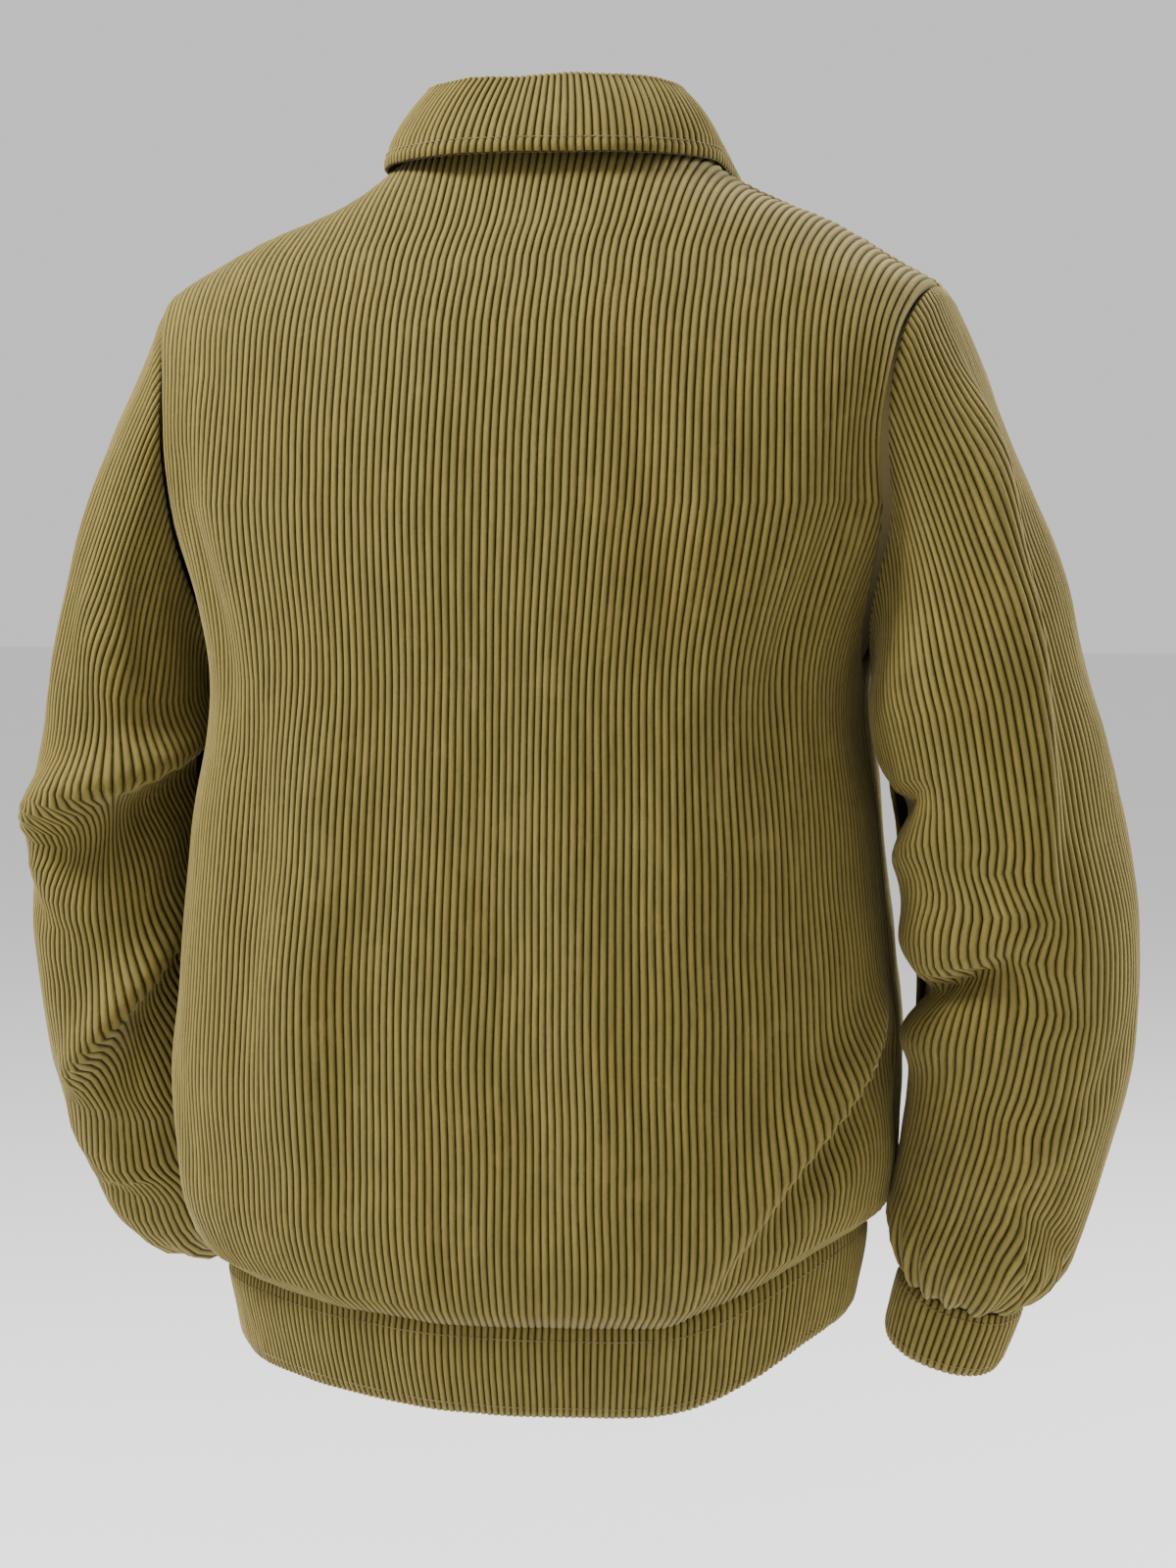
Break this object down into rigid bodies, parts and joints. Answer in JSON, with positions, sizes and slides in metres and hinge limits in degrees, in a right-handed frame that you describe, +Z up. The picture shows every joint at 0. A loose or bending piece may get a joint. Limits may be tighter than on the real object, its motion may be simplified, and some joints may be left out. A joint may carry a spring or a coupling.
{
  "type": "corduroy jacket",
  "caption": "Waist-length corduroy jacket in worn form: turned-down collar, long sleeves with cuffs, buttoned front, hem band.",
  "frame": {"origin": "middle of the shoulders at the base of the neck, level with the neck seam at the centre back", "axes": "+Z up, -Y out of the buttoned front, +X towards the wearer's left"},
  "size_m": [0.6434, 0.3195, 0.7201],
  "materials": {
    "corduroy": "matte, ribbed pile",
    "button": "satin"
  },
  "bodies": {
    "root": {"back": "corduroy", "front_left": "corduroy", "front_right": "corduroy", "sleeve_left": "corduroy", "sleeve_right": "corduroy", "cuff_left": "corduroy", "cuff_right": "corduroy", "hem_band": "corduroy", "collar_stand": "corduroy", "collar_fall": "corduroy", "button_1": "button", "button_2": "button", "button_3": "button", "button_4": "button", "button_5": "button", "button_6": "button"}
  },
  "joints": []
}
